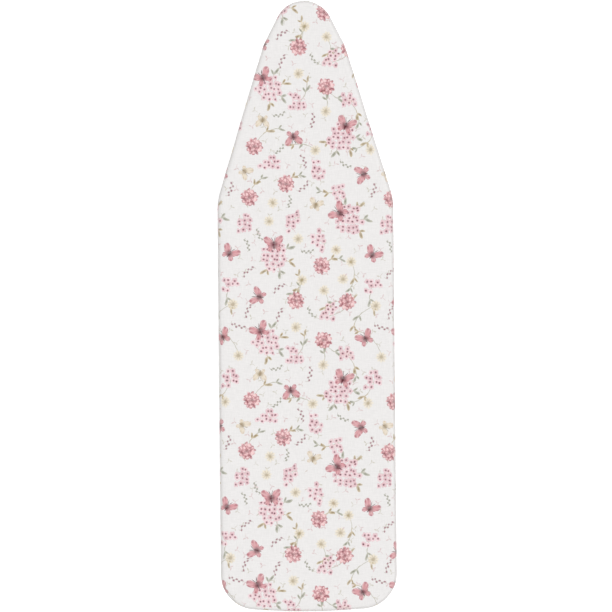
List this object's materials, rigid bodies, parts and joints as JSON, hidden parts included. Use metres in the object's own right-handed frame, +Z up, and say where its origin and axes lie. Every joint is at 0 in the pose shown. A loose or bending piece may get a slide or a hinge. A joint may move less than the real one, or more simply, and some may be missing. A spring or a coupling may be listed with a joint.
{
  "type": "sleeve ironing board",
  "caption": "Table-top sleeve ironing board with a tapered padded deck under a printed cotton cover, on a stand of swinging rod links that folds flat.",
  "frame": {"origin": "on the table, under the middle of the board's length and width", "axes": "+Y to the narrow nose, +Z up, X across the board"},
  "size_m": [0.148, 0.512, 0.145],
  "materials": {
    "printed_cotton": "matt plain-weave cotton with a floral print",
    "elastic": "ribbed elastic band",
    "felt": "matt needle felt",
    "deck_steel": "galvanised sheet",
    "plated_steel": "bright zinc plate",
    "coated_rod": "pale powder coat",
    "nylon": "moulded natural nylon",
    "pin_cap": "moulded black plastic",
    "rubber": "matt moulded rubber"
  },
  "bodies": {
    "base": {"base_loop": "coated_rod", "base_front_strap": "coated_rod", "base_rear_strap": "coated_rod", "base_front_brackets": "plated_steel", "base_rear_brackets": "plated_steel", "base_rivets": "plated_steel", "front_base_pins": "plated_steel", "rear_base_pins": "plated_steel", "base_pin_caps": "pin_cap", "front_feet": "rubber", "rear_feet": "rubber", "fold_bumpers": "rubber"},
    "front_link": {"front_link_frame": "coated_rod", "front_link_bushes": "nylon"},
    "rear_link": {"rear_link_frame": "coated_rod", "rear_link_bushes": "nylon"},
    "board": {"cover": "printed_cotton", "hem_elastic": "elastic", "felt_pad": "felt", "deck_plate": "deck_steel", "rim_strip": "deck_steel", "front_crossbar": "deck_steel", "rear_crossbar": "deck_steel", "front_deck_brackets": "plated_steel", "rear_deck_brackets": "plated_steel", "deck_rivets": "plated_steel", "front_deck_pins": "plated_steel", "rear_deck_pins": "plated_steel", "deck_pin_caps": "pin_cap", "stop_pins": "plated_steel", "stop_sleeves": "rubber"}
  },
  "joints": [
    {"name": "fold", "type": "hinge", "parent": "base", "child": "front_link", "pos_m": [0, 0.02959, 0.022], "axis": [1, 0, 0], "range_deg": [0, 99]},
    {"name": "deck_level", "type": "hinge", "parent": "front_link", "child": "board", "pos_m": [0, 0.05, 0.118], "axis": [1, 0, 0], "range_deg": [-99, 0]},
    {"name": "rear_fold", "type": "hinge", "parent": "base", "child": "rear_link", "pos_m": [0, -0.17041, 0.022], "axis": [1, 0, 0], "range_deg": [0, 99]}
  ],
  "couplings": [
    {"joint": "deck_level", "follows": "fold", "ratio": -1},
    {"joint": "rear_fold", "follows": "fold", "ratio": 1}
  ]
}
